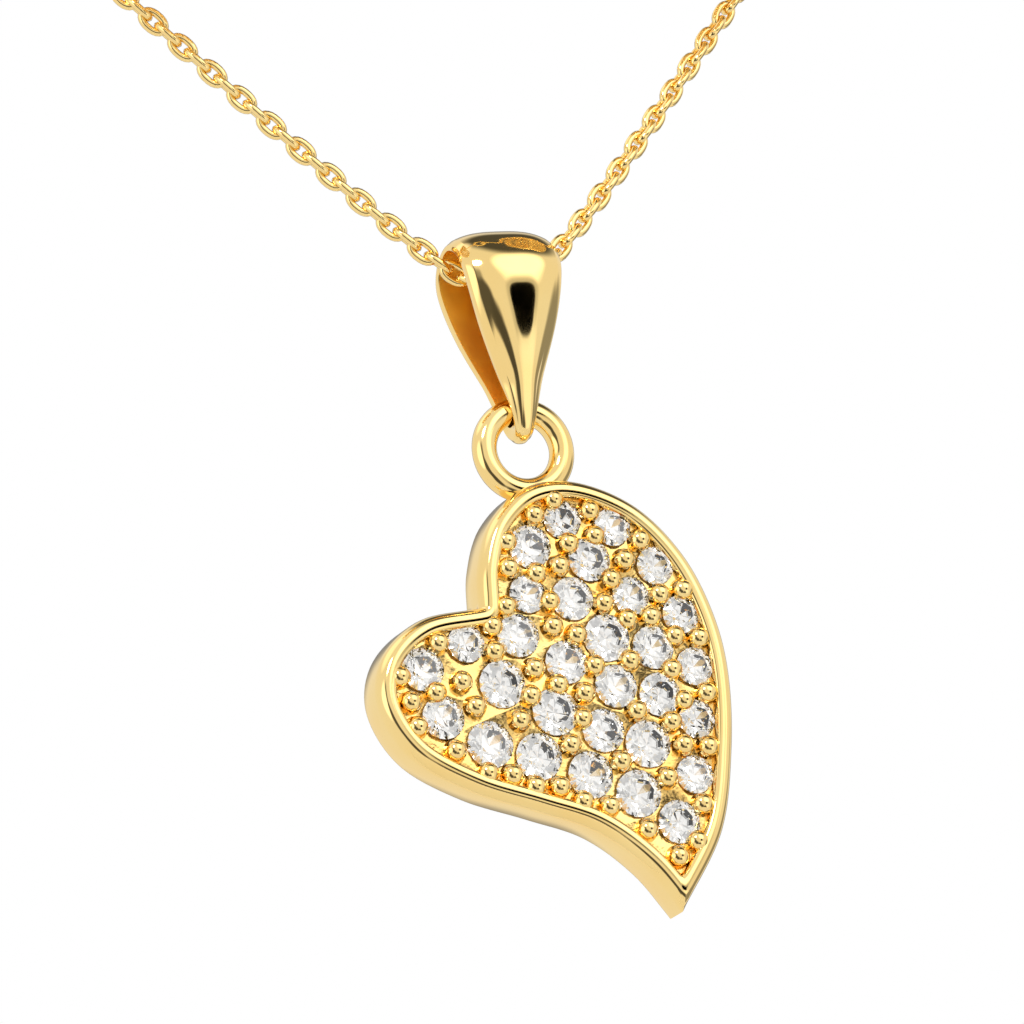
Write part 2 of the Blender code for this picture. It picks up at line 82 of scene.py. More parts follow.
# Stones, as shares of their diameter, how each is turned and tilted in degrees, and their seats
GIRDLE_Y = FLOOR - 0.12
CROWN_HEIGHT, PAVILION_DEPTH, GIRDLE_HEIGHT = 0.16, 0.42, 0.025
STONE_TURN, STONE_TILT, STONE_TILT_PACE = 37.0, 2.5, 2.4
SEAT_PLAY, SEAT_DROP, SEAT_WALL, SEAT_STEP = 0.015, 0.01, 0.06, 0.11
SEAT_LEDGE, SEAT_HOLE, SEAT_SIDES = 0.86, 0.45, 28

# Setting beads: their largest radius, the smallest gap that gets one, and how far they reach over stones and rim
BEAD_RADIUS, BEAD_LEAST, BEAD_OVERHANG, BEAD_ON_RIM = 0.43, 0.1, 0.3, 0.08
BEAD_SPACING, BEAD_GRID = 0.95, 0.06
BEAD_TOP, BEAD_FOOT = FRONT - 0.12, FLOOR + 0.05
BEAD_SMALLER_LOWER, BEAD_FLARE, BEAD_DOME, BEAD_STEPS, BEAD_SIDES = 0.25, 1.12, 0.8, 7, 20

# Pendant ring, its solder joint, and bail
RING_RADIUS, RING_WIRE = 1.54, 0.47
SOLDER_PLACE, SOLDER_SIZE = Vector((0.22, 0.0, -1.7)), Vector((1.12, 0.42, 0.36))
# The bail's front half from top to bottom, as (depth, height over the ring's centre), outside and inside.
BAIL_OUTER = [
    (0.0, 8.43), (1.22, 8.05), (2.0, 7.1), (2.15, 6.0), (1.87, 4.4), (1.36, 2.6), (0.87, 1.15), (0.5, 0.5),
    (0.0, 0.29),
]
BAIL_INNER = [
    (0.0, 7.78), (0.8, 7.47), (1.2, 6.85), (1.24, 6.0), (0.98, 4.4), (0.64, 2.8), (0.5, 1.6), (0.32, 1.08),
    (0.0, 0.93),
]
BAIL_WIDE, BAIL_NARROW, BAIL_FLARE = 3.9, 0.7, 1.3
BAIL_FOOT, BAIL_RISE = 0.3, 7.2
# Its section: chamfer, the share of the wall that is domed, the edges' rounding, and the points over the dome.
BAIL_CHAMFER, BAIL_CROWN, BAIL_CROWN_FULL, BAIL_EDGE = 0.24, 0.4, 0.9, 0.03
BAIL_DOME_POINTS, BAIL_DOME_POWER, BAIL_STEPS = 14, 3, 12

# Chain
CHAIN_WIDTH, CHAIN_WIRE, LINK_LENGTH, LINK_PITCH = 0.88, 0.29, 1.33, 0.735
LINK_FULLNESS = 0.85
V_SLOPE = {"left": 1.19, "right": 1.131}
V_BEND, V_LEAN, V_BOTTOM, V_REACH = 2.0, 0.197, 6.25, 12.0
COIL_RADIUS, COIL_START, COIL_PITCH, COIL_TURNS = 4.8, 13.6, 1.0, 6.25
RUN_PULL, TAIL_PULL, TURN_POINTS = 0.45, 0.35, 64
# How the tail leaves the winding and arrives at the clasp, for a side whose sign is 1
TAIL_LEAVING, TAIL_ARRIVING = Vector((-0.3, -1.0, 0.0)), Vector((-1.0, 0.3, 0.15))
SIGN = {"left": -1, "right": 1}
LINK_FACING = Vector((-0.38, -0.9, -0.22))

# Clasp
CLASP_CENTRE = Vector((0.0, 0.0, 5.4))
CLASP_RADIUS, CLASP_TUBE, CLASP_BORE = 2.1, 0.5, 0.34
CLASP_GAP_DEG = (40.0, 80.0)
CLASP_EDGE, BOLT_EDGE = 0.05, 0.06
BOLT_RADIUS, BOLT_DEG = 0.27, (35.0, 146.0)
LEVER_DEG, LEVER_TRAVEL_DEG = 102.0, 42.0
LEVER_STEM = [(0.13, 0.15), (0.13, 0.62), (0.19, 0.68), (0.26, 0.76)]
LEVER_KNOB, LEVER_KNOB_ANGLES = (0.3, 0.28, 0.92), (-0.3, 0.0, 0.4, 0.8, 1.2, 1.45)
SLOT_HALF, SLOT_SPARE_DEG, SLOT_FROM, SLOT_OVER = 0.19, 7, 0.1, 0.3
EYE_RADIUS, EYE_WIRE = 0.62, 0.2
END_RING_RADIUS, END_RING_WIRE = 1.3, 0.2
END_RING_CENTRE = CLASP_CENTRE + Vector((CLASP_RADIUS + 0.3, 0.0, 0.3))
END_RING_AXIS = Vector((0.0, 0.9, 0.44))
EYE_REACH = CLASP_RADIUS + CLASP_TUBE + EYE_WIRE + EYE_RADIUS + 0.02
TAIL_END = {
    "left": EYE_REACH + EYE_RADIUS + EYE_WIRE + 0.05,
    "right": END_RING_CENTRE.x + END_RING_RADIUS + END_RING_WIRE + 0.05,
}

# Materials: colours from dark to light, roughness from and to, how strong the grain is, and its scale per metre.
TINT_SCALE, TINT_RANGE = 350.0, (0.3, 0.7)
POLISH_SCALE, GRAIN_DEPTH = 1500.0, 0.00004
POLISHED = [(1.0, 0.71, 0.27), (1.0, 0.75, 0.32)], (0.04, 0.1), 0.05, 600.0
# The satin gold for the bail's inside: its roughness and grain are a satin finish, and its darker, deeper orange
# colours are painted shade.
SATIN_WITH_PAINTED_SHADE = [(0.85, 0.46, 0.05), (0.95, 0.56, 0.09)], (0.3, 0.42), 0.2, 3000.0
CAST = [(1.0, 0.62, 0.18), (1.0, 0.72, 0.28)], (0.1, 0.3), 0.7, 4000.0
STONE_POLISH_SCALE, STONE_ROUGH = 900.0, (0.0, 0.03)

# Camera, where the photograph was taken from
YAW, PITCH, ROLL = math.radians(23), math.radians(13), math.radians(8)
CAMERA_DISTANCE, LENS, SENSOR_WIDTH = 350.0, 332.2, 36.0
AIM = RING_CENTRE + Vector((-0.78, 0.0, -2.31))
# Metres. The floor is small, so that it hides none of the tent's low cards from the gold.
FLOOR_Z, FLOOR_SIZE = -0.25, 0.22
KEY_PLACE, KEY_SIZE, KEY_POWER = (-0.35, -0.5, 0.45), 0.2, 1.5

# Light tent: its own level, and the level it nears, by STONE_SHARE a surface, for rays that pass through a stone.
TENT_BASE = 0.88
STONE_LIGHT, STONE_SHARE = 1.15, 0.25
# Its panels and cards: direction, the cosine where each starts, the cosine where it is full, and its level.
TENT_CARDS = [
    ((0.38, 0.10, 0.91), 0.78, 0.93, 0.08),
    ((0.38, 0.90, 0.15), 0.80, 0.97, 0.3),
    ((0.38, -0.76, 0.50), 0.86, 0.97, 1.9),
    ((0.38, -0.92, -0.06), 0.95, 0.98, 0.6),
    ((0.45, -0.78, -0.46), 0.93, 0.98, 1.2),
    ((0.38, -0.923, -0.062), 0.982, 0.986, 0.0),
    ((-0.75, -0.62, 0.15), 0.94, 0.985, 0.2),
    ((-0.65, -0.74, -0.18), 0.95, 0.985, 0.1),
    ((-0.42, -0.79, -0.45), 0.95, 0.985, 0.08),
    ((0.05, -0.75, -0.66), 0.94, 0.985, 0.1),
    ((-0.92, -0.30, 0.10), 0.90, 0.96, 1.5),
    ((0.95, 0.10, -0.25), 0.90, 0.97, 0.3),
    ((-0.45, 0.20, 0.87), 0.90, 0.97, 1.3),
]


# Meshes

def link_object(name, data):
    obj = bpy.data.objects.new(name, data)
    bpy.context.scene.collection.objects.link(obj)
    return obj


def finish_mesh(name, bm, sharp_deg=40.0):
    """A mesh in metres from one in millimetres, smooth except at edges sharper than sharp_deg."""
    bmesh.ops.remove_doubles(bm, verts=bm.verts, dist=1e-4)
    bmesh.ops.recalc_face_normals(bm, faces=bm.faces)
    bmesh.ops.scale(bm, vec=(MM, MM, MM), verts=bm.verts)
    mesh = bpy.data.meshes.new(name)
    bm.to_mesh(mesh)
    bm.free()
    mesh.shade_smooth()
    mesh.set_sharp_from_angle(angle=math.radians(sharp_deg))
    return mesh


def add_piece(name, bm, material, body, sharp_deg=40.0):
    mesh = finish_mesh(name, bm, sharp_deg)
    obj = link_object(name, mesh)
    mesh.materials.append(material)
    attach(obj, body)
    return obj


def cut_away(obj, name, bm, sharp_deg):
    """Takes the solid in bm away from obj."""
    cutter = link_object(name, finish_mesh(name, bm))
    modifier = obj.modifiers.new("Boolean", "BOOLEAN")
    modifier.operation = "DIFFERENCE"
    modifier.object = cutter
    bpy.context.view_layer.update()
    graph = bpy.context.evaluated_depsgraph_get()
    mesh = bpy.data.meshes.new_from_object(obj.evaluated_get(graph))
    obj.modifiers.clear()
    old = obj.data
    obj.data = mesh
    bpy.data.meshes.remove(old)
    bpy.data.objects.remove(cutter)
    mesh.shade_smooth()
    mesh.set_sharp_from_angle(angle=math.radians(sharp_deg))


def loft(bm, rings, closed=False, caps=True):
    """Skins rings of equal length. Closed joins the last ring to the first."""
    rows = [[bm.verts.new(p) for p in ring] for ring in rings]
    pairs = list(zip(rows, rows[1:])) + ([(rows[-1], rows[0])] if closed else [])
    for a, b in pairs:
        for k in range(len(a)):
            m = (k + 1) % len(a)
            bm.faces.new((a[k], a[m], b[m], b[k]))
    if caps and not closed:
        bm.faces.new(rows[0])
        bm.faces.new(rows[-1])
    return rows


def turned(bm, profile, centre, axis, sides):
    """A solid turned about an axis through centre. The profile is (radius, height) pairs."""
    turn = UPWARD.rotation_difference(axis).to_matrix()
    rings = []
    for radius, height in profile:
        angles = [2 * math.pi * k / sides for k in range(sides)]
        ring = [Vector((radius * math.cos(a), radius * math.sin(a), height)) for a in angles]
        rings.append([centre + turn @ p for p in ring])
    loft(bm, rings)


def torus(bm, centre, axis, radius, wire, steps=(96, 24)):
    """A ring of round wire about an axis, with so many steps round the ring and round the wire."""
    turn = UPWARD.rotation_difference(axis).to_matrix()
    rings = []
    for i in range(steps[0]):
        a = 2 * math.pi * i / steps[0]
        out = Vector((math.cos(a), math.sin(a), 0))
        ring = []
        for k in range(steps[1]):
            b = 2 * math.pi * k / steps[1]
            ring.append(centre + turn @ (out * (radius + wire * math.cos(b)) + Vector((0, 0, wire * math.sin(b)))))
        rings.append(ring)
    loft(bm, rings, closed=True)


# Heart outline

def catmull_rom(a, b, c, d, t):
    """A point between b and c on the smooth curve through a, b, c and d."""
    return 0.5 * (2 * b + (c - a) * t + (2 * a - 5 * b + 4 * c - d) * t**2 + (3 * b - a - 3 * c + d) * t**3)


def smooth_side(first, middle, last, per_span=14):
    """Points on a Catmull-Rom curve from first through middle to last."""
    knots = [Vector(p) for p in (first, *middle, last)]
    padded = [2 * knots[0] - knots[1], *knots, 2 * knots[-1] - knots[-2]]
    made = []
    for spots in zip(padded, padded[1:], padded[2:], padded[3:]):
        made += [catmull_rom(*spots, step / per_span) for step in range(per_span)]
    return made + [knots[-1]]


RIGHT_LINE = smooth_side(CLEFT, RIGHT_SIDE, TIP)
LEFT_LINE = smooth_side(TIP, LEFT_SIDE, CLEFT)
OUTLINE = np.array([tuple(p) for p in RIGHT_LINE[:-1] + LEFT_LINE[:-1]])


def edge_distance(points):
    """How far each point is from the heart's outer edge."""
    points = np.asarray(points, float)
    along = np.roll(OUTLINE, -1, axis=0) - OUTLINE
    away = points[:, None, :] - OUTLINE[None]
    share = np.clip((away * along).sum(2) / (along**2).sum(1), 0, 1)
    return np.linalg.norm(away - share[..., None] * along[None], axis=2).min(1)


def inside(points):
    """Whether each point is inside the heart's outline, by counting the sides to its right."""
    hit = np.zeros(len(points), bool)
    for (ax, az), (bx, bz) in zip(OUTLINE, np.roll(OUTLINE, -1, axis=0)):
        if az == bz:
            continue
        between = (points[:, 1] < az) != (points[:, 1] < bz)
        crossing = ax + (points[:, 1] - az) / (bz - az) * (bx - ax)
        hit ^= between & (points[:, 0] < crossing)
    return hit


def resample(line, count):
    """So many points at even distances along a line of points."""
    lengths = [0.0]
    for a, b in zip(line, line[1:]):
        lengths.append(lengths[-1] + (b - a).length)
    made = []
    i = 0
    for k in range(count):
        goal = lengths[-1] * k / (count - 1)
        while i < len(line) - 2 and lengths[i + 1] < goal:
            i += 1
        share = (goal - lengths[i]) / max(lengths[i + 1] - lengths[i], 1e-9)
        made.append(line[i].lerp(line[i + 1], min(share, 1.0)))
    return made


def moved_side(line, width):
    """One side of the outline moved inwards, without the stretch that would pass the other side."""
    moved = []
    for i, point in enumerate(line):
        tangent = (line[min(i + 1, len(line) - 1)] - line[max(i - 1, 0)]).normalized()
        moved.append(point + width * Vector((tangent.y, -tangent.x)))
    if width <= 0:
        return moved
    clear = edge_distance([tuple(p) for p in moved]) > width - TRIM_SLACK
    return [p for p, kept in zip(moved, clear) if kept]


def inset_outline(width):
    """The outline moved inwards by width, always with the same number of points in the same places."""
    right = moved_side(RIGHT_LINE, width)
    left = moved_side(LEFT_LINE, width)
    tip = (right[-1] + left[0]) / 2
    right[-1] = left[0] = tip
    corner = Vector(CLEFT)
    start, end = left[-1] - corner, right[0] - corner
    turn = end.angle_signed(start) if width > 0 else 0.0
    count = SIDE_POINTS["cleft"]
    round_corner = []
    for k in range(1, count):
        step = Matrix.Rotation(turn * k / count, 2)
        round_corner.append(corner + step @ start)
    return resample(right, SIDE_POINTS["right"]) + resample(left, SIDE_POINTS["left"])[1:] + round_corner


def in_plane(point, y):
    """A place in the heart, from its (x, z) and its depth behind the heart's middle."""
    return RING_CENTRE + Vector((point[0], y, point[1]))


# Heart pieces

def stone_places():
    """Each stone's place in the heart's plane and its girdle diameter, read from the CAD model."""
    places = []
    for name in sorted(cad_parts):
        if name.startswith("stone_"):
            low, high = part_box(name)
            centre = (low + high) / 2 / MM - RING_CENTRE
            places.append((centre.x, centre.z, (high.x - low.x) / MM))
    return places


STONES = stone_places()


def seats():
    """The stepped holes that the stones sit in, as solids to cut away."""
    bm = bmesh.new()
    for x, z, diameter in STONES:
        seat = diameter / 2 + SEAT_PLAY
        hole = diameter / 2 * SEAT_HOLE
        shoulder = GIRDLE_Y + GIRDLE_HEIGHT * diameter + SEAT_DROP
        ledge = seat * SEAT_LEDGE
        run = (ledge - hole) * PAVILION_DEPTH / 0.5
        profile = [
            (seat, -(FLOOR - 0.1)), (seat, -(shoulder + SEAT_WALL)), (ledge, -(shoulder + SEAT_STEP)),
            (hole, -(shoulder + SEAT_STEP + run)), (hole, -(BACK + 0.2)),
        ]
        turned(bm, profile, in_plane((x, z), 0.0), FORWARD, SEAT_SIDES)
    return bm


def make_heart(gold, floor_gold):
    """The rim, floor and back in one loft, with a seat cut for each stone and its own gold on the sunk floor."""
    bm = bmesh.new()
    loft(bm, [[in_plane(p, y) for p in inset_outline(width)] for width, y in RIM_SECTION])
    heart = add_piece("heart_fine", bm, gold, "heart", 50.0)
    cut_away(heart, "seat_cutter", seats(), 35.0)
    heart.data.materials.clear()
    heart.data.materials.append(gold)
    heart.data.materials.append(floor_gold)
    centres = [face.center / MM - RING_CENTRE for face in heart.data.polygons]
    edge = edge_distance([(centre.x, centre.z) for centre in centres])
    for face, centre, away in zip(heart.data.polygons, centres, edge):
        sunk = FRONT + FLOOR_BELOW_RIM < centre.y < BACK - FLOOR_ABOVE_BACK
        face.material_index = int(away > RIM_WIDTH - FLOOR_SLACK and sunk)
    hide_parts("heart_casting")


def bead_places():
    """The middle of every gap that the stones and the rim leave."""
    stones = np.array(STONES)
    xs = np.arange(OUTLINE[:, 0].min(), OUTLINE[:, 0].max(), BEAD_GRID)
    zs = np.arange(OUTLINE[:, 1].min(), OUTLINE[:, 1].max(), BEAD_GRID)
    grid = np.stack(np.meshgrid(xs, zs, indexing="ij"), -1)
    flat = grid.reshape(-1, 2)
    room = (np.linalg.norm(flat[:, None] - stones[None, :, :2], axis=2) - stones[None, :, 2] / 2).min(1)
    wall = np.where(inside(flat), edge_distance(flat) - RIM_WIDTH, -1.0)
    room = np.minimum(room, wall + BEAD_ON_RIM)
    places = []
    for index in np.argsort(-room):
        gap = room[index]
        if gap < BEAD_LEAST:
            break
        radius = min(gap + BEAD_OVERHANG, BEAD_RADIUS)
        if all(np.linalg.norm(flat[index] - q) > BEAD_SPACING for q, _ in places):
            places.append((flat[index], radius))
    return places


def make_beads(gold):
    bm = bmesh.new()
    for place, radius in bead_places():
        top = BEAD_TOP + BEAD_SMALLER_LOWER * (BEAD_RADIUS - radius)
        dome = min(radius, (BEAD_FOOT - top) * BEAD_DOME)
        profile = [(radius * BEAD_FLARE, -BEAD_FOOT), (radius, -(top + dome))]
        for k in range(1, BEAD_STEPS):
            a = math.pi / 2 * k / BEAD_STEPS
            profile.append((radius * math.cos(a), -(top + dome * (1 - math.sin(a)))))
        profile.append((0.02, -top))
        turned(bm, profile, in_plane(place, 0.0), FORWARD, BEAD_SIDES)
    add_piece("setting_beads", bm, gold, "heart", 60.0)


def brilliant(diameter):
    """The corners of a round brilliant, table up along +Z, girdle at 0."""
    radius = diameter / 2
    crown, girdle, depth = (share * diameter for share in (CROWN_HEIGHT, GIRDLE_HEIGHT, PAVILION_DEPTH))
    # Table, upper facets, girdle's top and bottom, lower facets, point: corners, turn in steps, radius, height.
    rings = [
        (8, 0.0, 0.55 * radius, crown),
        (8, 0.5, 0.78 * radius, 0.56 * crown),
        (16, 0.0, radius, 0.0),
        (16, 0.0, radius, -girdle),
        (8, 0.0, 0.42 * radius, -girdle - 0.61 * depth),
        (1, 0.0, 0.0, -girdle - depth),
    ]
    for count, turn, out, height in rings:
        for k in range(count):
            angle = 2 * math.pi * (k + turn) / count
            yield Vector((out * math.cos(angle), out * math.sin(angle), height))


def make_stones(glass):
    for number, (x, z, diameter) in enumerate(STONES, 1):
        bm = bmesh.new()
        spin = Matrix.Rotation(math.radians(STONE_TURN * number), 3, "Y")
        lean = STONE_TILT * math.sin(STONE_TILT_PACE * number)
        tilt = Matrix.Rotation(math.radians(lean), 3, "X")
        stand = spin @ tilt @ UPWARD.rotation_difference(FORWARD).to_matrix()
        for corner in brilliant(diameter):
            bm.verts.new(in_plane((x, z), GIRDLE_Y) + stand @ corner)
        bmesh.ops.convex_hull(bm, input=bm.verts)
        stone = add_piece(f"brilliant_{number:02d}", bm, glass, "heart")
        stone.data.shade_flat()
        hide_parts(f"stone_{number:02d}")


def make_pendant_ring(gold):
    bm = bmesh.new()
    torus(bm, RING_CENTRE, -FORWARD, RING_RADIUS, RING_WIRE)
    ring = add_piece("pendant_ring_fine", bm, gold, "heart")
    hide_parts("pendant_ring")


def make_solder(gold):
    """The low mound of solder between the pendant ring and the heart."""
    bm = bmesh.new()
    bmesh.ops.create_uvsphere(bm, u_segments=40, v_segments=20, radius=1.0)
    bmesh.ops.scale(bm, vec=SOLDER_SIZE, verts=bm.verts)
    bmesh.ops.translate(bm, vec=RING_CENTRE + SOLDER_PLACE, verts=bm.verts)
    add_piece("ring_solder", bm, gold, "heart")


# Bail

def teardrop(half, per_span):
    """A closed smooth loop of (y, z) points from its front half, whose two ends lie on the middle line."""
    knots = [Vector((-depth, height)) for depth, height in half]
    knots += [Vector((-p.x, p.y)) for p in reversed(knots[1:-1])]
    count = len(knots)
    made = []
    for i in range(count):
        spots = [knots[(i + k) % count] for k in (-1, 0, 1, 2)]
        made += [catmull_rom(*spots, step / per_span) for step in range(per_span)]
    return made


def bail_width(height):
    """The strap's width at a height over the ring's centre."""
    share = min(max((height - BAIL_FOOT) / BAIL_RISE, 0.0), 1.0)
    return BAIL_NARROW + (BAIL_WIDE - BAIL_NARROW) * math.sin(math.pi / 2 * share**BAIL_FLARE)


def bail_section(half, wall):
    """Points across the strap as (x, height over its inside): flat inside, domed outside, edges chamfered."""
    chamfer = min(BAIL_CHAMFER, 0.3 * half)
    face = half - chamfer
    crown = BAIL_CROWN * wall * min(1.0, half / BAIL_CROWN_FULL)
    shoulder = wall - crown
    low = shoulder - 0.8 * chamfer
    side = [(half - BAIL_EDGE, 0.0), (half - 0.008, 0.008), (half, BAIL_EDGE), (half, low - 0.04)]
    side += [(half - 0.006, low - 0.01), (half - 0.025, low + 0.02)]
    side += [(face + 0.03, shoulder - 0.03), (face + 0.01, shoulder - 0.014)]
    dome = []
    for k in range(2 * BAIL_DOME_POINTS + 1):
        share = 1 - k / BAIL_DOME_POINTS
        dome.append(((face - 0.015) * share, shoulder + crown * (1 - abs(share) ** BAIL_DOME_POWER)))
    return side + dome + [(-x, height) for x, height in reversed(side)]


def make_bail(gold, satin_with_painted_shade):
    """A loft round the teardrop, polished outside, and inside a rougher satin gold whose darker, deeper orange
    colour is painted shade.
    """
    sections = []
    for out, within in zip(teardrop(BAIL_OUTER, BAIL_STEPS), teardrop(BAIL_INNER, BAIL_STEPS)):
        wall = (out - within).length
        normal = (out - within) / wall
        section = []
        for x, lift in bail_section(bail_width(out.y) / 2, wall):
            spot = within + normal * lift
            section.append(RING_CENTRE + Vector((x, spot.x, spot.y)))
        sections.append(section)
    bm = bmesh.new()
    rows = loft(bm, sections, closed=True)
    # The inside faces, which get the satin gold with its colour darkened to orange as painted shade.
    inside_edges = {frozenset((row[0], row[-1])) for row in rows}
    for face in bm.faces:
        pairs = [frozenset((edge.verts[0], edge.verts[1])) for edge in face.edges]
        face.material_index = int(any(pair in inside_edges for pair in pairs))
    bail = add_piece("bail_fine", bm, gold, "bail", 25.0)
    bail.data.materials.append(satin_with_painted_shade)
    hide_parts("bail")


# Chain

def v_point(side, reach):
    """The chain's centreline where it hangs in its V, at reach from the middle of the bail."""
    rise = V_SLOPE[side] * (math.hypot(reach, V_BEND) - V_BEND)
    return RING_CENTRE + Vector((SIGN[side] * reach, V_LEAN * rise, V_BOTTOM + rise))


def coil_point(side, turns):
    """A point of the winding, so many turns on from where its run reaches the back of the bar."""
    angle = 2 * math.pi * turns
    reach = COIL_START - COIL_PITCH * turns
    return Vector((SIGN[side] * reach, COIL_RADIUS * math.cos(angle), COIL_RADIUS * math.sin(angle)))


def joined(start, leaving, end, arriving, pull, count):
    """A smooth line that leaves start and arrives at end in the given directions."""
    size = (end - start).length * pull
    b = start + leaving.normalized() * size
    c = end - arriving.normalized() * size
    made = []
    for k in range(count + 1):
        t = k / count
        s = 1 - t
        made.append(s**3 * start + 3 * s * s * t * b + 3 * s * t * t * c + t**3 * end)
    return made


def chain_line(side, count=200):
    """One side's whole centreline: up the V, round the winding, and along the bar to the clasp."""
    line = [v_point(side, V_REACH * k / count) for k in range(count)]
    start = v_point(side, V_REACH)
    line += joined(start, start - line[-1], coil_point(side, 0), UPWARD, RUN_PULL, count)
    steps = int(COIL_TURNS * TURN_POINTS)
    line += [coil_point(side, COIL_TURNS * k / steps) for k in range(1, steps)]
    top = coil_point(side, COIL_TURNS)
    end = CLASP_CENTRE + Vector((SIGN[side] * TAIL_END[side], 0.0, 0.0))
    to_side = Vector((SIGN[side], 1.0, 1.0))
    return line + joined(top, TAIL_LEAVING * to_side, end, TAIL_ARRIVING * to_side, TAIL_PULL, count)


def even_points(line, step):
    """Points about step apart along a line, and the line's length."""
    length = sum((b - a).length for a, b in zip(line, line[1:]))
    count = max(2, round(length / step))
    return resample(line, count + 1), length


def add_link(bm, centre, along, across, steps=(22, 8)):
    """One oval link, its wire round, lying in the plane of along and across."""
    half_wide = (CHAIN_WIDTH - CHAIN_WIRE) / 2
    half_long = (LINK_LENGTH - CHAIN_WIRE) / 2
    normal = along.cross(across)
    rings = []
    for i in range(steps[0]):
        a = 2 * math.pi * i / steps[0]
        bulge = math.copysign(abs(math.cos(a)) ** LINK_FULLNESS, math.cos(a))
        spot = along * (half_long * bulge) + across * (half_wide * math.sin(a))
        out = (along * math.cos(a) * half_wide + across * math.sin(a) * half_long).normalized()
        ring = []
        for k in range(steps[1]):
            b = 2 * math.pi * k / steps[1]
            ring.append(centre + spot + (out * math.cos(b) + normal * math.sin(b)) * CHAIN_WIRE / 2)
        rings.append(ring)
    loft(bm, rings, closed=True)


def make_chain(gold):
    """Both sides' chains, link by link."""
    for side in SIGN:
        line = chain_line(side)
        spots, length = even_points(line, LINK_PITCH)
        bm = bmesh.new()
        facing = LINK_FACING.copy()
        for k, (a, b) in enumerate(zip(spots, spots[1:])):
            along = (b - a).normalized()
            facing = (facing - along * facing.dot(along)).normalized()
            across = facing if k % 2 else along.cross(facing)
            add_link(bm, (a + b) / 2, along, across)
        chain = add_piece(f"chain_{side}", bm, gold, "chain", 80.0)
        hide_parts(f"chain_{side}_run", f"chain_{side}_coil", f"chain_{side}_tail")


# Clasp

def clasp_point(degrees, out=0.0, side=0.0):
    """A point by its angle round the clasp from +X to +Y, its distance out from the wire, and its height."""
    angle = math.radians(degrees)
    radius = CLASP_RADIUS + out
    return CLASP_CENTRE + Vector((radius * math.cos(angle), radius * math.sin(angle), side))


def arc_rings(degrees, radius, stations, sides, ease=0.0):
    """Round sections along part of the clasp's circle, smaller at each end where ease is over 0."""
    places = [(degrees[0] + (degrees[1] - degrees[0]) * k / stations, radius) for k in range(stations + 1)]
    if ease > 0:
        nudge = math.degrees(ease / CLASP_RADIUS)
        first, last = places[0][0], places[-1][0]
        way = 1 if last > first else -1
        places[0] = (first + way * nudge, radius)
        places[-1] = (last - way * nudge, radius)
        places = [(first, radius - ease)] + places + [(last, radius - ease)]
    rings = []
    for at, size in places:
        turn = [2 * math.pi * n / sides for n in range(sides)]
        rings.append([clasp_point(at, size * math.cos(a), size * math.sin(a)) for a in turn])
    return rings


def make_clasp_body(gold):
    """A hollow C with a slot along its outside for the bolt's lever."""
    span = (CLASP_GAP_DEG[1], CLASP_GAP_DEG[0] + 360)
    outer = arc_rings(span, CLASP_TUBE, 90, 28, CLASP_EDGE)
    inner = arc_rings(span, CLASP_BORE, 90, 28)
    bm = bmesh.new()
    loft(bm, outer + inner[::-1], closed=True)
    body = add_piece("clasp_body_fine", bm, gold, "chain")
    first = LEVER_DEG - SLOT_SPARE_DEG
    last = LEVER_DEG + LEVER_TRAVEL_DEG + SLOT_SPARE_DEG
    over = CLASP_TUBE + SLOT_OVER
    corners = ((SLOT_FROM, -SLOT_HALF), (over, -SLOT_HALF), (over, SLOT_HALF), (SLOT_FROM, SLOT_HALF))
    slot = bmesh.new()
    loft(slot, [[clasp_point(first + (last - first) * k / 24, *c) for c in corners] for k in range(25)])
    cut_away(body, "slot_cutter", slot, 40.0)
    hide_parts("clasp_body")
    return body


def make_clasp_bolt(gold):
    """The bolt and the lever that draws it back."""
    bm = bmesh.new()
    loft(bm, arc_rings(BOLT_DEG, BOLT_RADIUS, 48, 20, BOLT_EDGE))
    bolt = add_piece("clasp_bolt_fine", bm, gold, "clasp_bolt")
    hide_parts("clasp_bolt")
    wide, tall, height = LEVER_KNOB
    knob = [(wide * math.cos(a), height + tall * math.sin(a)) for a in LEVER_KNOB_ANGLES]
    foot = clasp_point(LEVER_DEG)
    bm = bmesh.new()
    turned(bm, LEVER_STEM + knob, foot, clasp_point(LEVER_DEG, 1) - foot, 20)
    lever = add_piece("clasp_lever_fine", bm, gold, "clasp_bolt", 60.0)
    return bolt, lever


def make_end_rings(gold):
    """The clasp's eye on the left chain and the ring at the end of the right one."""
    bm = bmesh.new()
    torus(bm, CLASP_CENTRE - Vector((EYE_REACH, 0, 0)), UPWARD, EYE_RADIUS, EYE_WIRE, (48, 16))
    eye = add_piece("clasp_eye_fine", bm, gold, "chain")
    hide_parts("clasp_eye")
    bm = bmesh.new()
    torus(bm, END_RING_CENTRE, END_RING_AXIS, END_RING_RADIUS, END_RING_WIRE, (64, 16))
    ring = add_piece("end_ring_fine", bm, gold, "chain")
    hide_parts("end_ring")
    return eye, ring


def make_clasp(gold):
    """The clasp and the end ring, as the pieces at each chain's end. The spring is the CAD model's own."""
    body = make_clasp_body(gold)
    bolt, lever = make_clasp_bolt(gold)
    eye, ring = make_end_rings(gold)
    spring = bpy.data.objects["clasp_spring"]
    spring.data.materials.clear()
    spring.data.materials.append(gold)
    return {"left": [eye, body, bolt, lever, spring], "right": [ring]}


# Materials

def new_material(name):
    """A material with its node tree and shader."""
    material = bpy.data.materials.new(name)
    material.use_nodes = True
    return material, material.node_tree, material.node_tree.nodes["Principled BSDF"]


def node(tree, kind, **values):
    made = tree.nodes.new(kind)
    for name, value in values.items():
        setattr(made, name, value)
    return made


def noise(tree, scale, detail, coordinates):
    made = node(tree, "ShaderNodeTexNoise")
    made.inputs["Scale"].default_value = scale
    made.inputs["Detail"].default_value = detail
    tree.links.new(coordinates.outputs["Object"], made.inputs["Vector"])
    return made


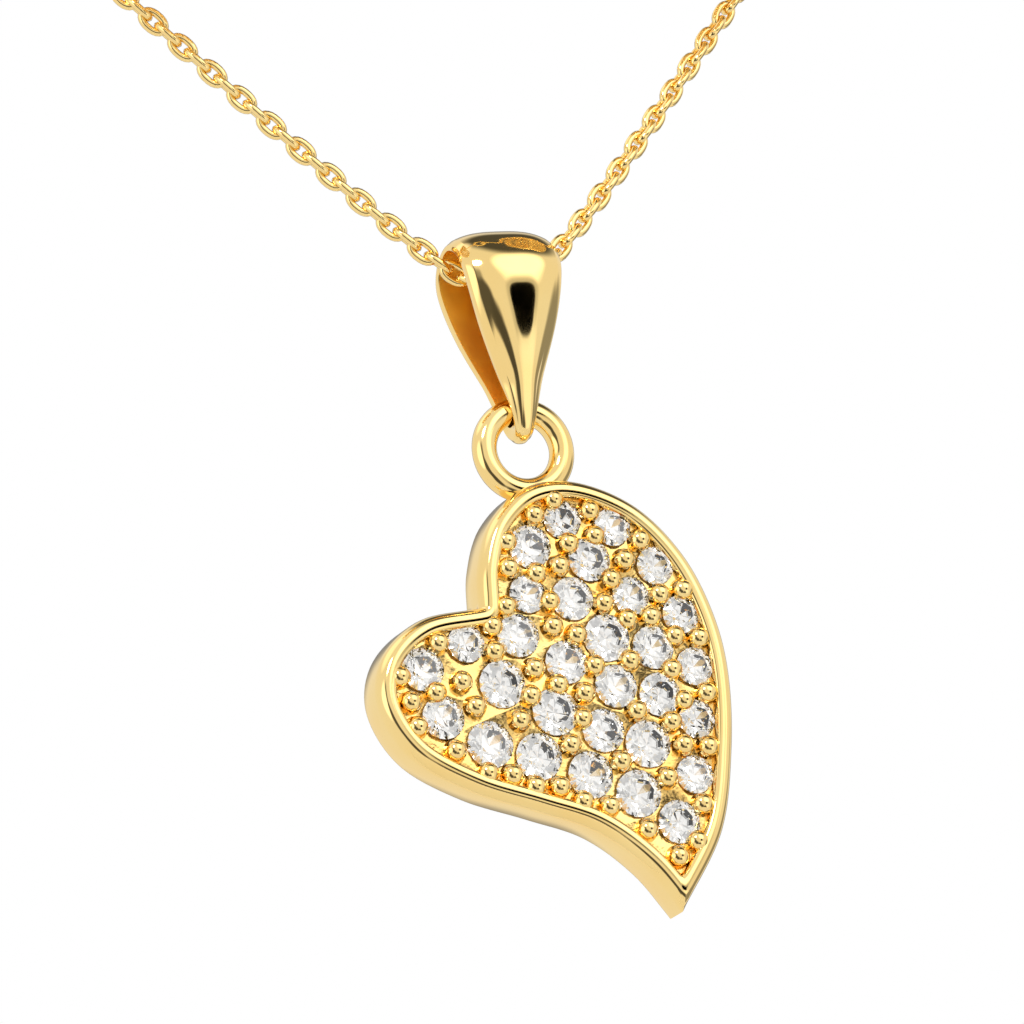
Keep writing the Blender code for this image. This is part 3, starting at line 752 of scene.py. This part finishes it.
def uneven_polish(tree, shader, texture, rough):
    """Roughness between two values, by a noise texture."""
    levels = node(tree, "ShaderNodeMapRange")
    levels.inputs["To Min"].default_value = rough[0]
    levels.inputs["To Max"].default_value = rough[1]
    tree.links.new(texture.outputs["Fac"], levels.inputs["Value"])
    tree.links.new(levels.outputs["Result"], shader.inputs["Roughness"])


def gold_material(name, colours, rough, bump, bump_scale):
    """Gold whose colour and polish vary a little, with a ripple in its surface."""
    material, tree, shader = new_material(name)
    shader.inputs["Metallic"].default_value = 1.0
    place = node(tree, "ShaderNodeTexCoord")
    tint = noise(tree, TINT_SCALE, 2.0, place)
    ramp = node(tree, "ShaderNodeValToRGB")
    for element, position, colour in zip(ramp.color_ramp.elements, TINT_RANGE, colours):
        element.position = position
        element.color = (*colour, 1)
    tree.links.new(tint.outputs["Fac"], ramp.inputs["Fac"])
    tree.links.new(ramp.outputs["Color"], shader.inputs["Base Color"])
    uneven_polish(tree, shader, noise(tree, POLISH_SCALE, 4.0, place), rough)
    grain = noise(tree, bump_scale, 3.0, place)
    relief = node(tree, "ShaderNodeBump")
    relief.inputs["Strength"].default_value = bump
    relief.inputs["Distance"].default_value = GRAIN_DEPTH
    tree.links.new(grain.outputs["Fac"], relief.inputs["Height"])
    tree.links.new(relief.outputs["Normal"], shader.inputs["Normal"])
    return material


def stone_material():
    """Clear cut stone. A very slight variation in polish keeps its facets from being perfect mirrors."""
    material, tree, shader = new_material("clear_stone")
    shader.inputs["Base Color"].default_value = (1.0, 0.99, 0.96, 1.0)
    shader.inputs["IOR"].default_value = 2.1
    shader.inputs["Transmission Weight"].default_value = 1.0
    place = node(tree, "ShaderNodeTexCoord")
    uneven_polish(tree, shader, noise(tree, STONE_POLISH_SCALE, 2.0, place), STONE_ROUGH)
    return material


# World, camera and floor

def tent_level(tree):
    """The tent's brightness by direction: grey, then each panel and card laid over what came before."""
    place = node(tree, "ShaderNodeTexCoord")
    level = None
    for direction, edge, full, bright in TENT_CARDS:
        dot = node(tree, "ShaderNodeVectorMath", operation="DOT_PRODUCT")
        dot.inputs[1].default_value = Vector(direction).normalized()
        tree.links.new(place.outputs["Generated"], dot.inputs[0])
        share = node(tree, "ShaderNodeMapRange", interpolation_type="SMOOTHSTEP")
        share.inputs["From Min"].default_value = edge
        share.inputs["From Max"].default_value = full
        tree.links.new(dot.outputs["Value"], share.inputs["Value"])
        mix = node(tree, "ShaderNodeMix", data_type="FLOAT")
        tree.links.new(share.outputs["Result"], mix.inputs[0])
        mix.inputs[2].default_value = TENT_BASE
        mix.inputs[3].default_value = bright
        if level is not None:
            tree.links.new(level, mix.inputs[2])
        level = mix.outputs[0]
    return level


def make_world():
    """A light tent, brighter through the stones, and plain white where the camera sees it."""
    world = bpy.data.worlds.new("light_tent")
    bpy.context.scene.world = world
    world.use_nodes = True
    tree = world.node_tree
    background = tree.nodes["Background"]
    level = tent_level(tree)
    ray = node(tree, "ShaderNodeLightPath")
    through = node(tree, "ShaderNodeMath", operation="MULTIPLY", use_clamp=True)
    tree.links.new(ray.outputs["Transmission Depth"], through.inputs[0])
    through.inputs[1].default_value = STONE_SHARE
    lit = node(tree, "ShaderNodeMix", data_type="FLOAT", clamp_factor=True)
    tree.links.new(through.outputs[0], lit.inputs[0])
    tree.links.new(level, lit.inputs[2])
    lit.inputs[3].default_value = STONE_LIGHT
    seen = node(tree, "ShaderNodeMix", data_type="FLOAT")
    tree.links.new(ray.outputs["Is Camera Ray"], seen.inputs[0])
    tree.links.new(lit.outputs[0], seen.inputs[2])
    seen.inputs[3].default_value = 1.0
    tree.links.new(seen.outputs[0], background.inputs["Color"])


def make_camera():
    look = Vector((math.sin(YAW) * math.cos(PITCH), math.cos(YAW) * math.cos(PITCH), math.sin(PITCH)))
    level = Vector((math.cos(YAW), -math.sin(YAW), 0.0))
    upright = level.cross(look)
    right = level * math.cos(ROLL) - upright * math.sin(ROLL)
    up = level * math.sin(ROLL) + upright * math.cos(ROLL)
    data = bpy.data.cameras.new("camera")
    data.lens = LENS
    data.sensor_width = SENSOR_WIDTH
    data.clip_start = 0.01
    data.clip_end = 20.0
    camera = link_object("camera", data)
    turn = Matrix((right, up, -look)).transposed().to_4x4()
    camera.matrix_world = Matrix.Translation((AIM - look * CAMERA_DISTANCE) * MM) @ turn
    bpy.context.scene.camera = camera


def area_light(name, place, size, power):
    """A round lamp that faces the necklace, from a place in metres from it."""
    data = bpy.data.lights.new(name, "AREA")
    data.shape = "DISK"
    data.size = size
    data.energy = power
    lamp = link_object(name, data)
    aim = AIM * MM
    lamp.location = aim + Vector(place)
    lamp.rotation_euler = (aim - lamp.location).to_track_quat("-Z", "Y").to_euler()


def make_floor():
    mesh = bpy.data.meshes.new("studio_floor")
    bm = bmesh.new()
    bmesh.ops.create_circle(bm, cap_ends=True, segments=96, radius=FLOOR_SIZE)
    bmesh.ops.translate(bm, verts=bm.verts, vec=(0, 0, FLOOR_Z))
    bm.to_mesh(mesh)
    bm.free()
    floor = link_object("studio_floor", mesh)
    material, _, shader = new_material("pale_paper")
    shader.inputs["Base Color"].default_value = (0.92, 0.92, 0.92, 1.0)
    shader.inputs["Roughness"].default_value = 0.9
    mesh.materials.append(material)


make_camera()
GOLD = gold_material("polished_gold", *POLISHED)
# Rougher satin gold for the bail's inside, its colour darkened and deepened to orange as painted shade.
SATIN_GOLD_WITH_PAINTED_SHADE = gold_material("satin_gold_painted_shade", *SATIN_WITH_PAINTED_SHADE)
FLOOR_GOLD = gold_material("cast_gold", *CAST)
STONE = stone_material()
CLASP_PIECES = make_clasp(GOLD)
make_chain(GOLD)
make_heart(GOLD, FLOOR_GOLD)
make_beads(GOLD)
make_stones(STONE)
make_pendant_ring(GOLD)
make_solder(GOLD)
make_bail(GOLD, SATIN_GOLD_WITH_PAINTED_SHADE)
make_world()
make_floor()
area_light("key", KEY_PLACE, KEY_SIZE, KEY_POWER)
bpy.context.scene.view_settings.view_transform = "Standard"
